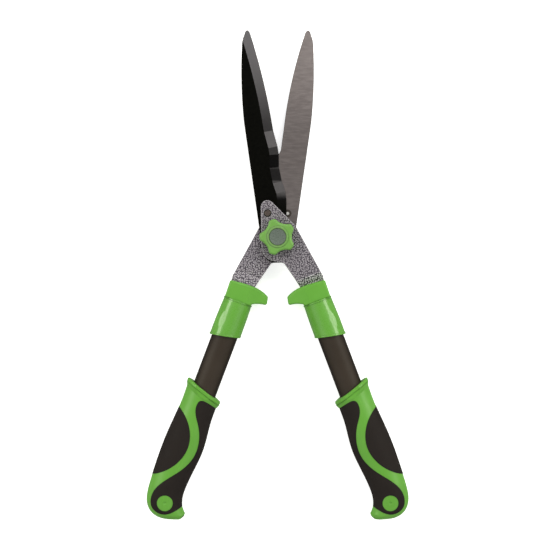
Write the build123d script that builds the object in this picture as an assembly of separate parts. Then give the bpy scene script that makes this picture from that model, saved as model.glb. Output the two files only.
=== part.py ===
"""Hedge shears with tubular handles, lying flat and part open.

Frame: +Y runs from the pivot towards the blade tips, +Z is the pivot axis, and z = 0 is the
surface that the shears lie on. The origin is on the pivot axis, in the flat of the bolt head.
The two halves are one design: the rear half is the front half turned over about the Y line.
Each half is modelled with z measured from the plane between the two blades.
"""
from build123d import *
import os
from math import cos, radians, sin, tan

# ---- Driving dimensions: millimetres and degrees ----
HEAD_H = 7.5            # pivot bolt head, under the rear plate
PLATE_T = 6.0           # shank plates
BLADE_T = 3.5
BLADE_GAP = 0.1         # running clearance between the flat blade faces
PIVOT_R = 4.0           # M8 pivot bolt
PIVOT_HOLE_R = 4.05
WASHER_HOLE_R = 4.2
CLOSED_ANGLE = 17.4     # turn of the front half that closes the shears

HANDLE_ANGLE = 20.7     # handle axis from the -Y direction
HANDLE_OFFSET = 16.0    # distance of the handle axis from the pivot axis
TUBE_R = 14.0
TUBE_WALL = 1.3
TUBE_TOP, TUBE_END = 82.0, 300.0        # along the handle, from the pivot

MID_Z = HEAD_H + PLATE_T + BLADE_T + BLADE_GAP / 2
BLADE_Z0 = BLADE_GAP / 2                # inner face of a blade, above the middle plane
PLATE_Z0 = BLADE_Z0 + BLADE_T
PLATE_Z1 = PLATE_Z0 + PLATE_T
FRONT = Location((0, 0, MID_Z))
REAR = Location((0, 0, MID_Z)) * Rot(0, 180, 0)

# Blade
EDGE_LAND = 0.6         # thickness left at the cutting edge
BEVEL_W = 10.2          # width of the ground bevel
RIVET_X, RIVET_Y = -11.0, 26.3
RIVET_R = 2.5
RIVET_HEAD_R = 3.2
RIVET_RECESS_R = 4.4    # recess round the rivet head
RIVET_SINK_R = 3.9      # countersink in the blade
RIVET_FLUSH = 0.02      # rivet end below the inner face of the blade

# Tang: the end of the shank plate, stepped down to the middle plane and run into the tube
STEP_TOP, STEP_END = 51.0, 59.5
TANG_HALF_W = 10.0
TANG_END = 150.0
PIN_STATIONS = (95.0, 111.0)
PIN_R = 2.5
PIN_HALF_L = 13.6

# Ferrule and bumper
FERRULE_TOP = 80.5
RIM_TILT = 11.9         # lower rim of the ferrule
FERRULE_LENGTH = 41.4   # to the tilted lower rim, on the axis
BUMPER_HALF_T = 14.0
NOSE_HALF_T = 8.8       # past the tip of the nose

# Grip
FLANGE_TILT = 17.7
FLANGE_S = 185.0        # top of the flange, on the handle axis
FLANGE_T = 4.2
FLANGE_LIP = 2.3        # how far the flange stands out from the grip
FLARE_L, FLARE_SINK = 7.0, 0.8          # run of the flare under it, and its foot in the grip
PAD_PROUD = 0.25        # rubber pads stand this far out of the core
BAR_HALF_W, BAR_HALF_T = 17.3, 15.0
BOSS = (-3.5, 315.2)
BOSS_R = 8.7
BOSS_TOP = 15.26        # surface of the grip at the boss
DIMPLE_R, DIMPLE_DEPTH = 2.6, 0.7

# Tension knob, from the outer face of the front plate
KNOB_LIFT = 0.5
KNOB_R = 19.8
SCALLOP_DEPTH_R = 15.4  # distance from the axis to the bottom of a scallop
SCALLOP_R = 15.0
KNOB_H = 11.7
RING_R, RING_H = 11.8, 0.8
DISC_R, DISC_T = 9.4, 1.2
SPRING_WASHER_R, SPRING_WASHER_T = 7.2, 1.6
THRUST_WASHER_R, THRUST_WASHER_T = 8.0, 1.2
INSERT_AF, INSERT_H = 13.0, 6.5
WASHER_GAP = 0.05
NECK = 8.0              # square neck under the bolt head
NECK_CLEARANCE = 0.05


# ---- Helpers ----
def handle_point(t, s):
    """A plan point of the front half: t outward from the handle axis, s along it."""
    a = radians(HANDLE_ANGLE)
    x = (HANDLE_OFFSET + t) * cos(a) + s * sin(a)
    y = (HANDLE_OFFSET + t) * sin(a) - s * cos(a)
    return (x, y)


HANDLE = Location((*handle_point(0, 0), 0)) * Rot(0, 0, HANDLE_ANGLE)


def local(t, s):
    """The same plan point in the handle's own frame, where +Y runs back up the handle."""
    return (t, -s)


def prism(face, z0, z1):
    """A plan face extruded from z0 to z1."""
    return extrude(Pos(0, 0, z0) * face, z1 - z0, dir=(0, 0, 1))


def polygon(points):
    return make_face(Polyline(*points, close=True))


def outlined(curves):
    """The plan face inside a closed chain of curves."""
    return make_face([edge for curve in curves for edge in curve.edges()])


def cylinder(r, z0, z1, x=0, y=0):
    return Pos(x, y, (z0 + z1) / 2) * Cylinder(r, z1 - z0)


def axial(r, s0, s1):
    """A cylinder along the handle axis, in the handle's own frame."""
    return Pos(0, -(s0 + s1) / 2, 0) * Rot(90, 0, 0) * Cylinder(r, s1 - s0)


def tilted_slab(s, tilt, start, end):
    """A slab from start to end below a tilted plane that crosses the handle axis at s."""
    slab = Pos(0, -(start + end) / 2, 0) * Box(120, end - start, 80)
    return Pos(0, -s, 0) * Rot(0, 0, tilt) * slab


# ---- Blade ----
def cutting_edge(step):
    """Plan points of the cutting edge below its long curve, for one of the two blades."""
    notch = [(1.5, 77.1), (4.7, 61.7), (8.6, 50.5), (9.7, 42.0)]
    front = [(-4.9, 117.7), (-0.1, 100.1), (1.4, 91.3)]
    rear = [(-6.5, 117.7), (-3.5, 95.7), (-1.0, 91.0)]
    return (front if step == "front" else rear) + notch


def blade_outline(step):
    edge = cutting_edge(step)
    tip_left, tip, tip_right = (-36.7, 222.6), (-33.4, 227.7), (-29.9, 223.3)
    spine_top, spine_mid, spine_low = (-39.2, 211.0), (-39.6, 166.0), (-37.0, 126.5)
    heel, waist = (-20.4, 11.5), (-17.2, -2.0)
    hub_left, hub_low, hub_end = (-17.2, -12.0), (-12.6, -23.9), (-2.5, -27.9)
    hub_right = (9.7, -20.0)
    tip_curve = Spline(
        tip_left,
        (-35.6, 225.9),
        tip,
        (-31.2, 226.1),
        tip_right,
        tangents=((0.22, 1.0), (0.30, -1.0)),
    )
    edges = [
        ThreePointArc(tip_right, (-15.3, 170.5), edge[0]),
        Polyline(*edge, hub_right),
        ThreePointArc(hub_right, (5.4, -25.6), hub_end),
        ThreePointArc(hub_end, hub_low, hub_left),
        Polyline(hub_left, waist, heel, spine_low),
        ThreePointArc(spine_low, spine_mid, spine_top),
        ThreePointArc(spine_top, (-38.5, 216.8), tip_left),
        tip_curve,
    ]
    return outlined(edges)


def bevel_field(step):
    """A wide face whose only near side is the cutting edge; the bevel slopes in from it."""
    edge = cutting_edge(step)
    tip_right, far_tip = (-29.9, 223.3), (-38.8, 252.0)
    root = (9.7, 27.0)
    sides = [
        Line(far_tip, tip_right),
        ThreePointArc(tip_right, (-15.3, 170.5), edge[0]),
        Polyline(*edge, root, (70, 27.0), (70, -70), (-110, -70), (-110, 252), far_tip),
    ]
    return outlined(sides)


def make_blade(step):
    """Flat inner face at z = BLADE_Z0, bevel ground on the outer side of the cutting edge."""
    z1 = BLADE_Z0 + BLADE_T
    land_top = BLADE_Z0 + EDGE_LAND
    outline = blade_outline(step)
    foot = bevel_field(step).face()
    top = offset(foot, -BEVEL_W, kind=Kind.INTERSECTION).face()
    ground = loft([foot, Pos(0, 0, BLADE_T - EDGE_LAND) * top], ruled=True)
    upper = prism(outline, land_top, z1) & Pos(0, 0, land_top) * ground
    blade = prism(outline, BLADE_Z0, land_top) + upper
    blade -= cylinder(PIVOT_HOLE_R, BLADE_Z0 - 1, z1 + 1)
    sink = cylinder(RIVET_SINK_R, BLADE_Z0 - 1, BLADE_Z0 + 0.4, RIVET_X, RIVET_Y)
    return blade - sink - make_blade_rivet()


def make_blade_rivet():
    """Countersunk flush in the blade, headed in a round recess of the plate."""
    inner = BLADE_Z0 + RIVET_FLUSH
    rim, sink = 0.35, 1.4
    rivet = cylinder(RIVET_R, inner, PLATE_Z1 - 1.6, RIVET_X, RIVET_Y)
    cone = Cone(RIVET_SINK_R, RIVET_R, sink)
    rivet += Pos(RIVET_X, RIVET_Y, inner + rim + sink / 2) * cone
    head = cylinder(RIVET_HEAD_R, PLATE_Z1 - 1.6, PLATE_Z1 - 0.5, RIVET_X, RIVET_Y)
    rivet += fillet(head.edges().group_by(Axis.Z)[-1], 0.5)
    return rivet


# ---- Shank plate ----
def shank_outline():
    """Hub with the rivet lobe, the arm, and the tang that runs down into the tube."""
    lobe_x, lobe_y, lobe_r = -11.2, 33.3, 7.2
    lobe_left = (lobe_x - lobe_r, lobe_y)
    lobe_right = (lobe_x + lobe_r * cos(radians(45)), lobe_y + lobe_r * sin(radians(45)))
    shoulder = (19.3, lobe_right[1] - (19.3 - lobe_right[0]))
    crotch = (7.0, -28.6)
    hub_left, hub_low, hub_bottom = (-17.7, -11.3), (-13.3, -21.9), (-5.2, -26.1)
    tang = [
        handle_point(15.7, 57.0),
        handle_point(14.6, 64.0),
        handle_point(TANG_HALF_W, 68.0),
        handle_point(TANG_HALF_W, TANG_END),
        handle_point(-TANG_HALF_W, TANG_END),
        handle_point(-TANG_HALF_W, 68.0),
        handle_point(-11.2, 64.0),
    ]
    edges = [
        ThreePointArc(lobe_left, (lobe_x, lobe_y + lobe_r), lobe_right),
        Polyline(lobe_right, shoulder, *tang, crotch, hub_bottom),
        ThreePointArc(hub_bottom, hub_low, hub_left),
        Line(hub_left, lobe_left),
    ]
    face = outlined(edges)
    corners = face.vertices()
    soft = [corners.sort_by_distance((*p, 0))[0] for p in (shoulder, crotch, tang[3], tang[4])]
    return fillet(soft, 3.0)


def step_profile():
    """Side view of the plate: flat at the hub, then stepped down to the middle plane."""
    half_t = PLATE_T / 2
    drop = PLATE_Z0 + half_t
    slope = Vector(STEP_END - STEP_TOP, drop, 0).get_angle(Vector(1, 0, 0))
    shift = half_t * tan(radians(slope / 2))
    points = [
        (-90, PLATE_Z1),
        (STEP_TOP + shift, PLATE_Z1),
        (STEP_END + shift, half_t),
        (TANG_END + 5, half_t),
        (TANG_END + 5, -half_t),
        (STEP_END - shift, -half_t),
        (STEP_TOP - shift, PLATE_Z0),
        (-90, PLATE_Z0),
    ]
    face = polygon(points)
    bends = face.vertices()
    near = [bends.sort_by_distance((*points[i], 0))[0] for i in (1, 2, 5, 6)]
    return fillet(near, 3.5)


def make_shank(square_hole):
    a = radians(HANDLE_ANGLE)
    side = Plane(
        origin=(*handle_point(0, 0), 0),
        x_dir=(sin(a), -cos(a), 0),
        z_dir=(-cos(a), -sin(a), 0),
    )
    strip = extrude(side * step_profile(), 80, both=True)
    plate = prism(shank_outline(), -20, 20) & strip
    outer_face = plate.faces().filter_by(Plane.XY).sort_by(Axis.Z)[-1]
    bend = outer_face.edges().sort_by(lambda e: e.center().dot(side.x_dir))[-1]
    plate = chamfer(outer_face.edges() - [bend], 0.7)
    if square_hole:
        side_l = NECK + 2 * NECK_CLEARANCE
        plate -= Box(side_l, side_l, 60)
    else:
        plate -= cylinder(PIVOT_HOLE_R, PLATE_Z0 - 1, PLATE_Z1 + 1)
    plate -= cylinder(RIVET_RECESS_R, PLATE_Z1 - 1.6, PLATE_Z1 + 1, RIVET_X, RIVET_Y)
    plate -= cylinder(RIVET_R, PLATE_Z0 - 1, PLATE_Z1, RIVET_X, RIVET_Y)
    return plate - HANDLE * make_pins()


# ---- Handle: tube, bush, pins, ferrule and bumper, in the handle's own frame ----
def make_pins():
    """Cross pins through tube, bush and tang, hidden by the ferrule."""
    pins = [cylinder(PIN_R, -PIN_HALF_L, PIN_HALF_L, *local(0, s)) for s in PIN_STATIONS]
    return Compound(children=pins)


def make_tube():
    tube = axial(TUBE_R, TUBE_TOP, TUBE_END)
    tube -= axial(TUBE_R - TUBE_WALL, TUBE_TOP - 1, TUBE_END + 1)
    return tube - make_pins()


def make_bush():
    """Plastic plug that holds the tang in the middle of the tube."""
    bush = axial(TUBE_R - TUBE_WALL, TUBE_TOP, TANG_END + 6)
    bush -= Pos(0, -TANG_END / 2, 0) * Box(2 * TANG_HALF_W, TANG_END, PLATE_T)
    return bush - make_pins()


def make_ferrule():
    """Barrelled sleeve over the top of the tube, with a rim at each end."""
    rim_s = FERRULE_TOP + FERRULE_LENGTH
    low = rim_s + 6
    barrel = Spline((15.7, -FERRULE_TOP), (16.3, -95), (16.6, -107), (16.4, -low))
    inner = TUBE_R
    walls = Polyline((16.4, -low), (inner, -low), (inner, -FERRULE_TOP), (15.7, -FERRULE_TOP))
    sleeve = revolve(outlined([barrel, walls]), Axis.Y)
    sleeve -= tilted_slab(rim_s, -RIM_TILT, 0, 40)
    rim_top = axial(16.25, FERRULE_TOP, FERRULE_TOP + 1.8)
    rim_low = axial(16.95, 100, low)
    rim_low &= tilted_slab(rim_s, -RIM_TILT, -2.2, 0)
    rims = fillet(rim_top.edges(), 0.5) + fillet(rim_low.edges(), 0.7)
    rims -= axial(inner, FERRULE_TOP - 1, low + 1)
    ferrule = sleeve + rims
    scoop_r, scoop_depth = 130.0, 0.45
    for side in (1, -1):
        away = 16.55 - scoop_depth + scoop_r
        a = radians(58)
        centre = (away * cos(a), -103, side * away * sin(a))
        ferrule -= Pos(*centre) * Sphere(scoop_r)
    return ferrule


def bumper_outline():
    """Collar with the nose that meets the other handle's nose when the shears close."""
    a = radians(HANDLE_ANGLE - CLOSED_ANGLE / 2 - 0.12)
    nose_top = (-29.35, 65.2)
    nose_low = (nose_top[0] - 9.0 * tan(a), nose_top[1] + 9.0)
    edges = [
        Spline(local(15.8, 61.8), local(0, 60.4), local(-14, 60.4), local(*nose_top)),
        Line(local(*nose_top), local(*nose_low)),
        Spline(local(*nose_low), local(-23, 75.6), local(-15.3, 79.0)),
        Polyline(
            local(-15.3, 79.0),
            local(-15.3, FERRULE_TOP),
            local(15.2, FERRULE_TOP),
            local(15.8, 61.8),
        ),
    ]
    return outlined(edges)


def make_bumper():
    block = prism(bumper_outline(), -BUMPER_HALF_T, BUMPER_HALF_T)
    waist, nose_end = (-8.0, BUMPER_HALF_T), (-36.0, NOSE_HALF_T)
    side = [(20, BUMPER_HALF_T), waist, nose_end]
    side += [(x, -z) for x, z in reversed(side)]
    profile = Plane(origin=(0, -50, 0), x_dir=(1, 0, 0), z_dir=(0, -1, 0)) * polygon(side)
    block &= extrude(profile, 40)
    seam = block.edges().filter_by(lambda e: abs(e.center().Y + FERRULE_TOP) < 0.1)
    rim = block.edges().filter_by(lambda e: e not in seam)
    return fillet(rim, 2.2)


# ---- Grip, in the handle's own frame ----
def grip_stations():
    """Inner point, outer point (t, s) and half thickness of each section.

    Sections run straight across the handle, then fan round the end into the toe.
    """
    straight = [
        (172, -19.2, 19.4, 16.4),
        (200, -18.7, 19.4, 16.4),
        (215, -18.9, 19.9, 16.5),
        (232, -20.7, 21.1, 16.7),
        (250, -22.0, 22.0, 16.8),
        (268, -20.7, 22.0, 16.7),
        (285, -19.0, 21.4, 16.5),
        (300, -18.6, 20.5, 16.3),
    ]
    stations = [((t0, s), (t1, s), half) for s, t0, t1, half in straight]
    stations += [
        ((-19.8, 307.5), (19.2, 312.0), 15.8),
        ((-21.6, 312.4), (15.6, 323.0), 15.0),
        ((-23.6, 315.2), (8.0, 331.0), 13.8),
        ((-25.4, 317.2), (-4.0, 333.8), 12.1),
        ((-27.0, 318.9), (-16.5, 331.2), 9.8),
        ((-28.0, 320.2), (-22.2, 329.3), 7.4),
        ((-28.2, 321.8), (-25.6, 327.0), 4.8),
        ((-27.8, 323.4), (-27.0, 325.0), 1.6),
    ]
    return stations


def grip_section(inner, outer, half_t, grow):
    """An oval standing on the line from the inner point to the outer point."""
    p = Vector(*local(*inner))
    q = Vector(*local(*outer))
    across = (q - p).normalized()
    half_w = (q - p).length / 2 + grow
    plane = Plane(origin=(p + q) / 2, x_dir=across, z_dir=across.cross(Vector(0, 0, 1)))
    return plane * Ellipse(half_w, half_t + grow)


def grip_solid(grow):
    """The whole grip, with its surface moved out by grow."""
    sections = [grip_section(*station, grow) for station in grip_stations()]
    return loft(sections)


def palm_outline():
    """D-shaped panel on the outer side of the grip."""
    curve = Spline(
        local(27, 209.3),
        local(10.5, 217.3),
        local(-1.3, 232),
        local(-5.8, 249),
        local(-0.8, 269),
        local(13.5, 286),
        local(27, 294.5),
    )
    back = Line(local(27, 294.5), local(27, 209.3))
    return outlined([curve, back])


def finger_outline():
    """Long panel on the inner side, from the flange down round the boss."""
    curve = Spline(
        local(-30, 202.5),
        local(-11, 197.0),
        local(0.3, 197.6),
        local(1.6, 205.0),
        local(-7, 222),
        local(-14.7, 240),
        local(-15.0, 258.5),
        local(-5.5, 278),
        local(7.3, 295),
        local(13.1, 311.5),
        local(7.5, 325.5),
        local(-5.5, 327.8),
        local(-19.5, 316.8),
        local(-30, 305),
    )
    back = Line(local(-30, 305), local(-30, 202.5))
    return outlined([curve, back])


def make_core_bar():
    """The part of the core that the rubber pads lie on."""
    start = Plane(origin=(0.4, -TUBE_TOP, 0), x_dir=(1, 0, 0), z_dir=(0, -1, 0))
    bar = extrude(start * Ellipse(BAR_HALF_W, BAR_HALF_T), TUBE_END + 2 - TUBE_TOP)
    foot_top = Plane(origin=(-2, -TUBE_END, 0), x_dir=(1, 0, 0), z_dir=(0, -1, 0))
    foot_end = foot_top.offset(22.5)
    return bar + loft([foot_top * Rectangle(23, 19), foot_end * Rectangle(16, 14)])


def flange_section(s, grow):
    """The grip's oval across a tilted plane that crosses the handle axis at s."""
    rise = tan(radians(FLANGE_TILT))
    inner, outer = -19.0, 19.4
    return grip_section((inner, s - inner * rise), (outer, s - outer * rise), 16.4, grow)


def make_flange():
    """Tilted lip at the top of the grip, flared into it, kept clear of the ground."""
    lip_end = FLANGE_S + FLANGE_T
    lip = loft([flange_section(FLANGE_S, FLANGE_LIP), flange_section(lip_end, FLANGE_LIP)])
    foot = flange_section(lip_end + FLARE_L, -FLARE_SINK)
    flare = loft([flange_section(lip_end, FLANGE_LIP), foot])
    slab = Box(90, 800, 2 * MID_Z - 0.3)
    return fillet((lip & slab).edges(), 1.2) + (flare & slab)


def make_grip():
    """Core with flange and boss, and the two rubber pads let into it."""
    top_cut = tilted_slab(FLANGE_S + 1, FLANGE_TILT, -80, 0)
    whole = grip_solid(0) - top_cut
    over = grip_solid(PAD_PROUD) - top_cut
    bar = make_core_bar()
    boss = cylinder(BOSS_R, -30, 30, *local(*BOSS))
    palm_zone = prism(palm_outline(), -30, 30)
    finger_zone = prism(finger_outline(), -30, 30) - boss
    palm = (over & palm_zone) - bar
    finger = (over & finger_zone) - bar
    core = whole - (palm_zone - bar) + make_flange()
    core -= finger_zone - bar
    core -= axial(TUBE_R, 100, TUBE_END)
    for side in (1, -1):
        centre_z = BOSS_TOP + DIMPLE_R - DIMPLE_DEPTH
        core -= Pos(*local(*BOSS), side * centre_z) * Sphere(DIMPLE_R)
    return core, palm, finger


# ---- Pivot and tension knob ----
def make_bolt():
    """Carriage bolt: its square neck sits in the rear plate, so the knob can't turn it."""
    plate_top = HEAD_H + PLATE_T
    end = MID_Z + PLATE_Z1 + SPRING_WASHER_T + THRUST_WASHER_T + INSERT_H + 0.6
    dome = ThreePointArc((6.0, 0, 0), (9.4, 0, 1.7), (11.0, 0, 5.0))
    rest = Polyline((11.0, 0, 5.0), (11.0, 0, HEAD_H), (0, 0, HEAD_H), (0, 0, 0), (6.0, 0, 0))
    head = revolve(outlined([dome, rest]), Axis.Z)
    neck = Pos(0, 0, HEAD_H + (PLATE_T - 0.4) / 2) * Box(NECK, NECK, PLATE_T - 0.4)
    shaft = cylinder(PIVOT_R, plate_top - 1, end)
    shaft = chamfer(shaft.edges().group_by(Axis.Z)[-1], 0.8)
    return head + neck + shaft


def make_spring_washer():
    """Split washer, drawn at its flattened height."""
    z0 = MID_Z + PLATE_Z1
    ring = cylinder(SPRING_WASHER_R, z0, z0 + SPRING_WASHER_T)
    ring -= cylinder(WASHER_HOLE_R, z0 - 1, z0 + 5)
    split = Pos(5.6, 0, z0) * Rot(25, 0, 0) * Box(5, 0.8, 8)
    return ring - split


def make_thrust_washer():
    z0 = MID_Z + PLATE_Z1 + SPRING_WASHER_T + WASHER_GAP
    z1 = z0 + THRUST_WASHER_T
    washer = cylinder(THRUST_WASHER_R, z0, z1) - cylinder(WASHER_HOLE_R, z0 - 1, z1 + 1)
    return chamfer(washer.edges().group_by(Axis.Z)[-1].sort_by(SortBy.LENGTH)[-1], 0.25)


def hexagon_prism(z0, z1):
    across_corners = INSERT_AF / cos(radians(30))
    return prism(RegularPolygon(across_corners / 2, 6), z0, z1)


def insert_base():
    return MID_Z + PLATE_Z1 + SPRING_WASHER_T + THRUST_WASHER_T + 2 * WASHER_GAP


def make_insert():
    """Hexagonal nut moulded into the knob."""
    z0 = insert_base()
    nut = hexagon_prism(z0, z0 + INSERT_H)
    return nut - cylinder(PIVOT_HOLE_R, z0 - 1, z0 + INSERT_H + 1)


def knob_outline():
    """Five-lobed star, one lobe pointing along -X."""
    star = Circle(KNOB_R)
    centre = SCALLOP_DEPTH_R + SCALLOP_R
    for i in range(5):
        a = radians(72 * i)
        star -= Pos(centre * cos(a), centre * sin(a)) * Circle(SCALLOP_R)
    return fillet(star.vertices(), 3.2)


def make_knob():
    z0 = MID_Z + PLATE_Z1 + KNOB_LIFT
    top = z0 + KNOB_H
    ring_top = top + RING_H
    knob = prism(knob_outline(), z0, top)
    knob = fillet(knob.edges().group_by(Axis.Z)[-1], 2.6)
    knob = chamfer(knob.edges().group_by(Axis.Z)[0], 0.6)
    ring = cylinder(RING_R, top - 1, ring_top)
    ring = fillet(ring.edges().group_by(Axis.Z)[-1], 0.7)
    knob += ring
    knob -= cylinder(DISC_R, ring_top - 0.6 - DISC_T, ring_top + 1)
    knob -= cylinder(THRUST_WASHER_R + 0.6, z0 - 1, insert_base())
    knob -= hexagon_prism(insert_base() - 1, insert_base() + INSERT_H)
    knob -= cylinder(PIVOT_R + 0.6, z0, insert_base() + INSERT_H + 1.8)
    return knob


def make_disc():
    """Plain metal-look cap in the middle of the knob."""
    z1 = MID_Z + PLATE_Z1 + KNOB_LIFT + KNOB_H + RING_H - 0.6
    disc = cylinder(DISC_R, z1 - DISC_T, z1)
    disc = chamfer(disc.edges().group_by(Axis.Z)[-1], 0.5)
    dish = Pos(0, 0, z1 + 119.7) * Sphere(120)
    return disc - dish


# ---- Assembly ----
def half_pieces(step):
    """Every piece of one half, in the half's own position, under its short name."""
    shank = make_shank(square_hole=step == "rear")
    core, palm, finger = make_grip()
    bumper = make_bumper() - HANDLE.inverse() * shank
    handle = {
        "bumper": bumper,
        "ferrule": make_ferrule(),
        "tube": make_tube(),
        "tang_bush": make_bush(),
        "tang_pins": make_pins(),
        "grip_core": core,
        "palm_pad": palm,
        "finger_pad": finger,
    }
    pieces = {"blade": make_blade(step), "shank": shank, "blade_rivet": make_blade_rivet()}
    return pieces, {name: HANDLE * piece for name, piece in handle.items()}


def assembly():
    nodes = {}
    for step, side, place in (("front", "right", FRONT), ("rear", "left", REAR)):
        plain, handle = half_pieces(step)
        nodes.update({f"{step}_{name}": place * piece for name, piece in plain.items()})
        nodes.update({f"{side}_{name}": place * piece for name, piece in handle.items()})
    nodes["pivot_bolt"] = make_bolt()
    nodes["spring_washer"] = make_spring_washer()
    nodes["thrust_washer"] = make_thrust_washer()
    nodes["tension_knob"] = make_knob()
    nodes["knob_insert"] = make_insert()
    nodes["knob_disc"] = make_disc()
    return nodes


os.makedirs("parts", exist_ok=True)
for node, solid in assembly().items():
    export_step(solid, f"parts/{node}.step")
    size = solid.bounding_box().size
    print(f"{node:22s} {len(solid.solids())} solid(s)  {size.X:6.1f} {size.Y:6.1f} {size.Z:6.1f}")
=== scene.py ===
"""Hedge shears lying flat and part open: materials, fine detail, light and camera."""

import bpy
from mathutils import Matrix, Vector


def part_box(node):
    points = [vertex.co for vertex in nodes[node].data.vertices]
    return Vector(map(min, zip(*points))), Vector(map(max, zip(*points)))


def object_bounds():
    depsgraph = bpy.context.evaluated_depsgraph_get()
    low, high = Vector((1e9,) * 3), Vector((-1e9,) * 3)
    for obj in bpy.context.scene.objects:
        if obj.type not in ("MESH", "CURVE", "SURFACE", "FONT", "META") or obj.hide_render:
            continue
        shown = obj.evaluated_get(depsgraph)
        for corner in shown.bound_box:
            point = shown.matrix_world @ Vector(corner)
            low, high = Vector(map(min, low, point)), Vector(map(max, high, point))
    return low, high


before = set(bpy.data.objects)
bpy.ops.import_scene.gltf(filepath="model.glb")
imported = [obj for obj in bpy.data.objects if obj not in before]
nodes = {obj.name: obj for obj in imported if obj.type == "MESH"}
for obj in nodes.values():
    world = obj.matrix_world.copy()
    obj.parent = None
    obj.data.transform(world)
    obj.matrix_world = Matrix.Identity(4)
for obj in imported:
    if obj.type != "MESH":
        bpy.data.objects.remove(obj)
cad_low, cad_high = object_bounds()
scene = bpy.context.scene


Y, Z = 1, 2               # axes of a vector, as output numbers of Separate XYZ
FINE_RELIEF = 0.0002      # depth of a moulded grain or a ground surface, in metres


# ---- Node helpers ----
class Shader:
    """One material, with short calls that add a node and return its output socket."""

    def __init__(self, name):
        self.material = bpy.data.materials.new(name)
        self.material.use_nodes = True
        self.tree = self.material.node_tree
        self.tree.nodes.clear()
        self.output = self.tree.nodes.new("ShaderNodeOutputMaterial")
        self.bsdf = self.tree.nodes.new("ShaderNodeBsdfPrincipled")
        self.tree.links.new(self.bsdf.outputs[0], self.output.inputs["Surface"])
        self.place = self.tree.nodes.new("ShaderNodeTexCoord").outputs["Object"]

    def set(self, **values):
        """Values or links for inputs of the Principled shader, with _ for a space."""
        for key, value in values.items():
            self.put(self.bsdf.inputs[key.replace("_", " ")], value)

    def put(self, socket, value):
        """Link a socket to an output, or give it a value or a colour."""
        if isinstance(value, bpy.types.NodeSocket):
            self.tree.links.new(value, socket)
        elif isinstance(value, tuple) and len(value) == 3 and socket.type == "RGBA":
            socket.default_value = (*value, 1.0)
        else:
            socket.default_value = value

    def node(self, kind, inputs, out=0, **props):
        """Add a node, fill its inputs and return one of its outputs."""
        made = self.tree.nodes.new(kind)
        for key, value in props.items():
            setattr(made, key, value)
        for key, value in inputs.items():
            self.put(made.inputs[key], value)
        return made.outputs[out]

    def maths(self, operation, a, b=0.0, c=0.0):
        return self.node("ShaderNodeMath", {0: a, 1: b, 2: c}, operation=operation)

    def smooth(self, value, low, high, to_low=0.0, to_high=1.0):
        """Smooth step of the value from low to high."""
        values = {0: value, 1: low, 2: high, 3: to_low, 4: to_high}
        return self.node("ShaderNodeMapRange", values, interpolation_type="SMOOTHSTEP")

    def mix(self, share, a, b):
        """Mix of two colours."""
        values = {"Factor": share, 6: a, 7: b}
        return self.node("ShaderNodeMix", values, out=2, data_type="RGBA")

    def stretched(self, scale, turn):
        """Object coordinates turned about Z and scaled, for a grain with a direction."""
        values = {"Vector": self.place, "Scale": scale, "Rotation": (0.0, 0.0, turn)}
        return self.node("ShaderNodeMapping", values)

    def noise(self, scale, detail, rough=0.5, at=None):
        values = {"Vector": at or self.place, "Scale": scale, "Detail": detail}
        values["Roughness"] = rough
        return self.node("ShaderNodeTexNoise", values)

    def cells(self, scale, randomness=1.0, dimensions="3D"):
        """Distance to the nearest cell centre."""
        values = {"Vector": self.place, "Scale": scale, "Randomness": randomness}
        return self.node("ShaderNodeTexVoronoi", values, voronoi_dimensions=dimensions)

    def bump(self, height, strength, distance=FINE_RELIEF):
        values = {"Height": height, "Strength": strength, "Distance": distance}
        return self.node("ShaderNodeBump", values)

    def split(self, vector, axis):
        """One component of a vector."""
        return self.node("ShaderNodeSeparateXYZ", {0: vector}, out=axis)

    def facing(self, axis):
        """Share of the surface's own normal along an axis of the object."""
        return self.split(self.node("ShaderNodeTexCoord", {}, out="Normal"), axis)

    def blend(self, share, a, b):
        """Mix of two single values."""
        return self.node("ShaderNodeMix", {"Factor": share, 2: a, 3: b})

    def reach(self, node_name, shift=0.0):
        """Distance in XY from the middle of a CAD node's box, moved along X by shift."""
        low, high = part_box(node_name)
        middle = (low + high) / 2
        flat = {0: self.place, 1: (1.0, 1.0, 0.0)}
        flat = self.node("ShaderNodeVectorMath", flat, operation="MULTIPLY")
        gap = {0: flat, 1: (middle.x + shift, middle.y, 0.0)}
        return self.node("ShaderNodeVectorMath", gap, out=1, operation="DISTANCE")

    def painted_edge_mask(self, radius):
        """1 on sharp edges, 0 on open faces, for painted shade and painted highlights along edges.
        """
        soft = self.node("ShaderNodeBevel", {"Radius": radius}, samples=8)
        hard = self.node("ShaderNodeNewGeometry", {}, out="Normal")
        dot = self.node("ShaderNodeVectorMath", {0: soft, 1: hard}, out=1, operation="DOT_PRODUCT")
        return self.smooth(dot, 0.995, 0.90)


RING_IN, RING_OUT = 0.0105, 0.0135      # raised ring round the knob's disc


def plastic(name, colour, pale, rough, grain, strength, coat=0.0, edge_shade_share=0.6, hub=None):
    """Moulded plastic: soft colour drift, fine spark-eroded grain, uneven gloss, painted shade
    along the edges.

    Past the raised ring round a hub node it takes the colour of the knob's lobes; the paler,
    greyer green inside the ring is a painted sheen.
    """
    s = Shader(name)
    drift = s.noise(35.0, 3.0)
    body = s.mix(s.smooth(drift, 0.3, 0.7), colour, pale)
    if hub:
        # painted sheen: inside the raised ring the knob is paler and greyer than on its lobes
        body = s.mix(s.smooth(s.reach(hub), RING_IN, RING_OUT), body, LOBE_GREEN)
    # painted shade: darker lines along the edges
    edge = s.maths("MULTIPLY", s.painted_edge_mask(0.0013), edge_shade_share)
    s.set(Base_Color=s.mix(edge, body, tuple(0.38 * part for part in colour)))
    fine = s.noise(grain, 2.0, 0.6)
    s.set(Roughness=s.smooth(fine, 0.3, 0.7, rough - 0.05, rough + 0.05))
    s.set(Normal=s.bump(fine, strength))
    s.bsdf.inputs["Coat Weight"].default_value = coat
    s.bsdf.inputs["Coat Roughness"].default_value = 0.14
    s.bsdf.inputs["Specular IOR Level"].default_value = 0.35
    return s.material


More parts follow.
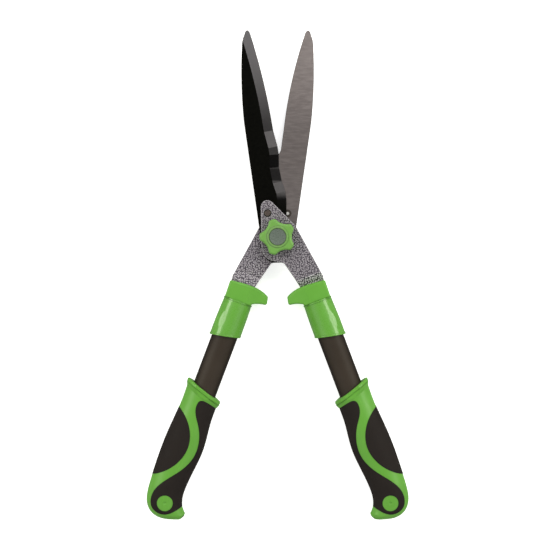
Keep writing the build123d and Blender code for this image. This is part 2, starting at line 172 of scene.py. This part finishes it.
def rubber(name, colour, pale):
    """Matt rubber with a fine pebbled grain."""
    s = Shader(name)
    grain = s.cells(1500.0)
    drift = s.noise(60.0, 4.0)
    s.set(Base_Color=s.mix(s.smooth(drift, 0.3, 0.7), colour, pale))
    s.set(Roughness=s.smooth(drift, 0.3, 0.7, 0.62, 0.78))
    s.set(Normal=s.bump(grain, 0.25))
    s.bsdf.inputs["Specular IOR Level"].default_value = 0.15
    return s.material


def bright_metal(name, colour, pale, rough):
    """Bare or plated metal with a fine mottle."""
    s = Shader(name)
    fine = s.noise(900.0, 3.0, 0.6)
    s.set(Base_Color=s.mix(fine, colour, pale))
    s.set(Roughness=s.smooth(fine, 0.3, 0.7, rough - 0.06, rough + 0.08))
    s.set(Normal=s.bump(fine, 0.08))
    s.bsdf.inputs["Metallic"].default_value = 1.0
    return s.material


PEBBLE_SCALE, PEBBLE_SPREAD = 540.0, 0.66     # pebbles a metre, and how irregular they are
RECESS_SHADE_OUT, RECESS_SHADE_IN = 0.0047, 0.0043            # ring of painted shade in the rivet's recess


def hammered(name, rivet_node, tone, bend_highlight_share):
    """Zinc-grey hammertone coat: pale pebbles with dark veins, painted highlights on the bend and
    edges, and painted shade round the rivet head.
    """
    s = Shader(name)
    up = s.facing(Z)
    on_face = s.cells(PEBBLE_SCALE, PEBBLE_SPREAD, "2D")
    on_wall = s.cells(PEBBLE_SCALE, PEBBLE_SPREAD, "3D")
    wall = s.smooth(s.maths("ABSOLUTE", up), 0.5, 0.3)
    pebble = s.blend(wall, on_face, on_wall)
    # painted highlight: the coat is paler where the tang bends away from the plate
    bend = s.maths("MULTIPLY", s.smooth(up, 0.985, 0.93), s.smooth(up, 0.74, 0.80))
    fleck = s.noise(1500.0, 3.0, 0.7)
    cloud = s.noise(60.0, 2.0)
    # tone lifts the plate's colours as painted light
    low_tone = (0.270 * tone, 0.246 * tone, 0.268 * tone)
    high_tone = (0.325 * tone, 0.298 * tone, 0.323 * tone)
    base = s.mix(s.smooth(cloud, 0.3, 0.7), low_tone, high_tone)
    base = s.mix(s.maths("MULTIPLY", bend, bend_highlight_share), base, (0.85, 0.81, 0.85))
    vein = s.mix(s.smooth(pebble, 0.26, 0.46), base, (0.036 * tone, 0.029 * tone, 0.040 * tone))
    light = s.mix(s.smooth(fleck, 0.54, 0.70, 0.0, 0.5), vein, (0.62, 0.58, 0.64))
    # painted highlight along the plate's edges
    edge_highlighted = s.mix(s.painted_edge_mask(0.0008), light, (0.66, 0.64, 0.66))
    # painted shade in the recess round the rivet head
    recess_shade = s.smooth(s.reach(rivet_node), RECESS_SHADE_OUT, RECESS_SHADE_IN)
    s.set(Base_Color=s.mix(recess_shade, edge_highlighted, (0.012, 0.010, 0.008)))
    s.set(Metallic=0.12, Roughness=s.smooth(fleck, 0.3, 0.7, 0.42, 0.58))
    s.set(Normal=s.bump(s.maths("MULTIPLY", pebble, -1.0), 0.5, 0.0004))
    s.bsdf.inputs["Specular IOR Level"].default_value = 0.35
    return s.material


FLAT_FROM, FLAT_TO = 0.975, 0.985       # the outer flat faces outward more than this
BEVEL_FROM, BEVEL_TO = 0.93, 0.95       # and the ground bevel more than this
RIVET_SHADE_SHIFT = -0.0022                  # middle of the painted shade, left of the rivet


def painted_steel_shade(s, up, along):
    """Painted shade and painted reflection on the ground steel along the blade, on the flat inner
    face and on the bevel.
    """
    # painted shade: the flat inner face is darker towards the pivot end
    flat = s.smooth(along, 0.105, 0.185, 0.72, 1.0)
    # painted reflection: facets of the bevel are darker the more squarely they face across the
    # blade
    slant = s.smooth(s.facing(Y), 0.028, 0.075, 0.015, 0.258)
    slant = s.maths("MULTIPLY", slant, s.smooth(along, 0.074, 0.079, 0.22, 1.0))
    slant = s.maths("MULTIPLY", slant, s.smooth(along, 0.0632, 0.0612, 1.0, 3.95))
    # painted shade: the lowest facet fades to black towards the root
    fade = s.smooth(along, 0.040, 0.0515, 0.0, 0.21)
    tail = s.maths("MULTIPLY", fade, s.smooth(along, 0.0530, 0.0510))
    bevel = s.smooth(up, BEVEL_FROM, BEVEL_TO)
    return s.blend(bevel, flat, s.maths("MAXIMUM", slant, tail))


def blade(name, rivet_node, outward):
    """Ground steel inside and on the bevel, with painted shade and reflection; black coat on the
    outer flat and spine, and painted shade in the coat's black at the root.
    """
    s = Shader(name)
    up = s.maths("MULTIPLY", s.facing(Z), outward)
    along = s.split(s.place, Y)
    flat_out = s.smooth(up, FLAT_FROM, FLAT_TO)
    wall = s.smooth(s.maths("ABSOLUTE", up), 0.6, 0.4)
    grind = s.noise(900.0, 3.0, 0.6, at=s.stretched((0.12, 1.0, 1.0), 0.5))
    cloud = s.noise(22.0, 3.0)
    speck = s.noise(500.0, 3.0, 0.6)
    # painted shade: the root of the bevel turns the coat's black, with a soft, ragged edge
    ragged = s.maths("MULTIPLY_ADD", cloud, 0.010, along)
    root = s.smooth(ragged, 0.052, 0.038)
    bevel = s.smooth(up, BEVEL_FROM, BEVEL_TO)
    coat_and_root_shade = s.maths("MAXIMUM", wall, s.maths("MULTIPLY", root, bevel))
    coat_and_root_shade = s.maths("MAXIMUM", flat_out, coat_and_root_shade)
    steel = s.mix(s.smooth(cloud, 0.3, 0.7), (0.322, 0.278, 0.264), (0.342, 0.298, 0.284))
    steel = s.mix(s.smooth(grind, 0.35, 0.75, 0.0, 0.5), steel, (0.40, 0.352, 0.338))
    steel = s.mix(bevel, steel, (0.372, 0.352, 0.360))
    tone = painted_steel_shade(s, up, along)
    shade = s.node("ShaderNodeCombineColor", {0: tone, 1: tone, 2: tone})
    inputs = {"Factor": 1.0, 6: steel, 7: shade}
    steel = s.node("ShaderNodeMix", inputs, out=2, data_type="RGBA", blend_type="MULTIPLY")
    black = s.mix(s.smooth(speck, 0.3, 0.75), (0.0010, 0.0010, 0.0006), (0.0024, 0.0024, 0.0015))
    # painted shade: a dark patch on the steel left of the rivet
    rivet_shade = s.smooth(s.reach(rivet_node, RIVET_SHADE_SHIFT), 0.0050, 0.0030, 0.0, 0.8)
    steel = s.mix(rivet_shade, steel, (0.035, 0.030, 0.026))
    # painted shade: darker lines along the steel's edges
    rim = s.mix(s.painted_edge_mask(0.0010), steel, (0.07, 0.062, 0.060))
    s.set(Base_Color=s.mix(coat_and_root_shade, rim, black))
    s.set(Metallic=s.maths("SUBTRACT", 1.0, coat_and_root_shade))
    bare_rough = s.smooth(grind, 0.3, 0.7, 0.30, 0.38)
    coat_rough = s.smooth(speck, 0.3, 0.7, 0.48, 0.60)
    s.set(Roughness=s.blend(coat_and_root_shade, bare_rough, coat_rough))
    s.set(Normal=s.bump(grind, 0.04))
    s.bsdf.inputs["Specular IOR Level"].default_value = 0.03
    return s.material


def rivet(name, rivet_node, outward):
    """Browned head outside; inside, a painted highlight in the middle of the end and painted shade
    round it.
    """
    s = Shader(name)
    up = s.maths("MULTIPLY", s.facing(Z), outward)
    inside = s.smooth(up, -0.3, -0.7)
    fine = s.noise(900.0, 3.0, 0.6)
    brown = s.mix(fine, (0.10, 0.078, 0.066), (0.24, 0.195, 0.170))
    # painted highlight in the middle of the rivet's end, painted shade towards its edge
    rim_shade_share = s.smooth(s.reach(rivet_node), 0.0013, 0.0021)
    glint_and_rim_shade = s.mix(rim_shade_share, (0.93, 0.92, 0.86), (0.10, 0.085, 0.07))
    s.set(Base_Color=s.mix(inside, brown, glint_and_rim_shade))
    s.set(Roughness=s.smooth(fine, 0.3, 0.7, 0.28, 0.38), Metallic=1.0)
    s.set(Normal=s.bump(fine, 0.10))
    return s.material


def painted_tube(name):
    """Dark brown-grey powder coat on the tube, with a faint orange-peel skin."""
    s = Shader(name)
    peel = s.noise(420.0, 2.0, 0.5)
    cloud = s.noise(25.0, 3.0)
    paint = s.mix(s.smooth(cloud, 0.3, 0.7), (0.033, 0.0245, 0.0175), (0.040, 0.030, 0.022))
    # painted shade: the coat is darker round the sides
    side = s.smooth(s.maths("ABSOLUTE", s.facing(Z)), 0.80, 0.45, 0.0, 0.9)
    s.set(Base_Color=s.mix(side, paint, (0.014, 0.010, 0.007)))
    s.set(Roughness=s.smooth(peel, 0.3, 0.7, 0.46, 0.54))
    s.bsdf.inputs["Specular IOR Level"].default_value = 0.14
    s.set(Normal=s.bump(peel, 0.10))
    return s.material


def floor_material():
    """White paper, lit a little from within so that the shadows on it stay faint."""
    s = Shader("pale_floor")
    fine = s.noise(60.0, 3.0)
    s.set(Base_Color=s.mix(fine, (0.93, 0.93, 0.93), (0.96, 0.96, 0.96)))
    s.set(Roughness=0.8)
    s.bsdf.inputs["Specular IOR Level"].default_value = 0.2
    s.bsdf.inputs["Emission Color"].default_value = (1.0, 1.0, 1.0, 1.0)
    s.bsdf.inputs["Emission Strength"].default_value = 0.60
    return s.material


# ---- Materials on the CAD nodes ----
GREEN, GREEN_PALE = (0.104, 0.322, 0.031), (0.115, 0.342, 0.037)
# the paler, greyer KNOB_GREEN inside the knob's raised ring is a painted sheen; LOBE_GREEN is the
# lobes' green
KNOB_GREEN, KNOB_PALE = (0.152, 0.290, 0.082), (0.170, 0.312, 0.096)
LOBE_GREEN = (0.138, 0.320, 0.060)
GRAIN = 1400.0            # moulded grain, in dots a metre
ferrule_green = plastic("ferrule_green", GREEN, GREEN_PALE, 0.30, 900.0, 0.04, 0.6)
bumper_green = plastic("bumper_green", GREEN, GREEN_PALE, 0.42, GRAIN, 0.12)
grip_green = plastic("grip_green", GREEN, GREEN_PALE, 0.40, GRAIN, 0.12, edge_shade_share=0.35)
knob_green = plastic("knob_green", KNOB_GREEN, KNOB_PALE, 0.34, GRAIN, 0.10, hub="tension_knob")
pad_black = rubber("pad_black", (0.0135, 0.0100, 0.0082), (0.0165, 0.0125, 0.0105))
BLACK, BLACK_PALE = (0.012, 0.012, 0.012), (0.02, 0.02, 0.02)
black_plastic = plastic("black_plastic", BLACK, BLACK_PALE, 0.45, GRAIN, 0.1)
zinc = bright_metal("zinc_steel", (0.42, 0.42, 0.43), (0.55, 0.55, 0.56), 0.30)
brass = bright_metal("insert_brass", (0.50, 0.36, 0.14), (0.60, 0.44, 0.18), 0.32)
disc_silver = bright_metal("disc_silver", (0.265, 0.325, 0.262), (0.305, 0.365, 0.302), 0.30)
tube_dark = painted_tube("dark_tube")

looks = {
    "front_blade": blade("front_blade_steel", "front_blade_rivet", 1.0),
    "rear_blade": blade("rear_blade_steel", "rear_blade_rivet", -1.0),
    "pivot_bolt": zinc,
    "spring_washer": zinc,
    "thrust_washer": zinc,
    "tension_knob": knob_green,
    "knob_insert": brass,
    "knob_disc": disc_silver,
}
# half, side, which way its outer face looks, how much painted light brightens its plate, how
# strong the painted highlight on its bend is
halves = (("front", "right", 1.0, 1.0, 0.75), ("rear", "left", -1.0, 1.25, 0.15))
for half, side, outward, tone, bend_highlight_share in halves:
    coat = hammered(f"{half}_hammered_plate", f"{half}_blade_rivet", tone, bend_highlight_share)
    looks[f"{half}_shank"] = coat
    looks[f"{half}_blade_rivet"] = rivet(f"{half}_rivet_steel", f"{half}_blade_rivet", outward)
    looks[f"{side}_bumper"] = bumper_green
    looks[f"{side}_ferrule"] = ferrule_green
    looks[f"{side}_tube"] = tube_dark
    looks[f"{side}_tang_bush"] = black_plastic
    looks[f"{side}_tang_pins"] = zinc
    looks[f"{side}_grip_core"] = grip_green
    looks[f"{side}_palm_pad"] = pad_black
    looks[f"{side}_finger_pad"] = pad_black
for name, material in looks.items():
    data = nodes[name].data
    data.materials.clear()
    data.materials.append(material)


# ---- Floor, light and camera ----
# radiance at the horizon and below, at three heights above it, and straight overhead
WORLD_LIGHT = (0.22, 0.30, 1.0, 0.92, 0.40)
WORLD_HEIGHTS = (0.25, 0.50, 0.80)
WORLD_STRENGTH = 0.88
FLOOR_HALF, FLOOR_GAP = 60.0, 0.0002    # its far edge stays out of all but the lowest views
SIDE_SIZE, SIDE_POWER, SIDE_TINT = (0.9, 0.7), 10.5, (1.0, 0.99, 0.86)
KEY_SIZE, KEY_POWER = (0.9, 0.9), 18.0


def make_floor():
    """One flat sheet just under the shears."""
    half = FLOOR_HALF
    data = bpy.data.meshes.new("floor")
    corners = [(-half, -half, 0), (half, -half, 0), (half, half, 0), (-half, half, 0)]
    data.from_pydata(corners, [], [(0, 1, 2, 3)])
    data.materials.append(floor_material())
    floor = bpy.data.objects.new("floor", data)
    floor.location.z = cad_low.z - FLOOR_GAP
    scene.collection.objects.link(floor)
    floor.visible_glossy = False


def aim(obj, place, target):
    """Stand an object at a place, with its -Z axis at the target."""
    obj.location = place
    obj.rotation_mode = "QUATERNION"
    obj.rotation_quaternion = (target - place).to_track_quat("-Z", "Y")


def softbox(name, place, target, size, power, tint=(1.0, 1.0, 1.0)):
    """Rectangular studio light."""
    data = bpy.data.lights.new(name, "AREA")
    data.shape = "RECTANGLE"
    data.size, data.size_y = size
    data.energy = power
    data.color = tint
    lamp = bpy.data.objects.new(name, data)
    scene.collection.objects.link(lamp)
    aim(lamp, place, target)


def make_world():
    """Studio light from a wide ring overhead, weaker straight above and near the horizon."""
    world = bpy.data.worlds.new("studio")
    world.use_nodes = True
    tree = world.node_tree
    tree.nodes.clear()
    place = tree.nodes.new("ShaderNodeTexCoord")
    parts = tree.nodes.new("ShaderNodeSeparateXYZ")
    ramp = tree.nodes.new("ShaderNodeValToRGB")
    back = tree.nodes.new("ShaderNodeBackground")
    out = tree.nodes.new("ShaderNodeOutputWorld")
    tree.links.new(place.outputs["Generated"], parts.inputs[0])
    tree.links.new(parts.outputs[2], ramp.inputs[0])
    tree.links.new(ramp.outputs[0], back.inputs[0])
    tree.links.new(back.outputs[0], out.inputs[0])
    ramp.color_ramp.interpolation = "EASE"
    steps = ramp.color_ramp.elements
    steps[0].position, steps[1].position = 0.0, 1.0
    for height in WORLD_HEIGHTS:
        steps.new(height)
    for step, light in zip(steps, WORLD_LIGHT):
        step.color = (light, light, light, 1.0)
    back.inputs[1].default_value = WORLD_STRENGTH
    scene.world = world


def make_camera():
    """Straight above, as far off as a 100 mm lens needs for the view's width."""
    lens, sensor, view_width = 100.0, 36.0, 0.6094
    middle = Vector((-0.0007, -0.0436, 0.017))
    data = bpy.data.cameras.new("camera")
    data.lens = lens
    data.sensor_width = sensor
    camera = bpy.data.objects.new("camera", data)
    camera.location = middle + Vector((0, 0, view_width * lens / sensor))
    scene.collection.objects.link(camera)
    scene.camera = camera


make_floor()
make_world()
make_camera()
centre = (cad_low + cad_high) / 2
softbox("right_box", Vector((1.4, 0.3, 0.95)), centre, SIDE_SIZE, SIDE_POWER, SIDE_TINT)
softbox("left_box", Vector((-1.4, 0.3, 0.95)), centre, SIDE_SIZE, SIDE_POWER, SIDE_TINT)
softbox("key_box", Vector((0.5, 1.5, 1.7)), centre, KEY_SIZE, KEY_POWER)
scene.view_settings.view_transform = "Standard"
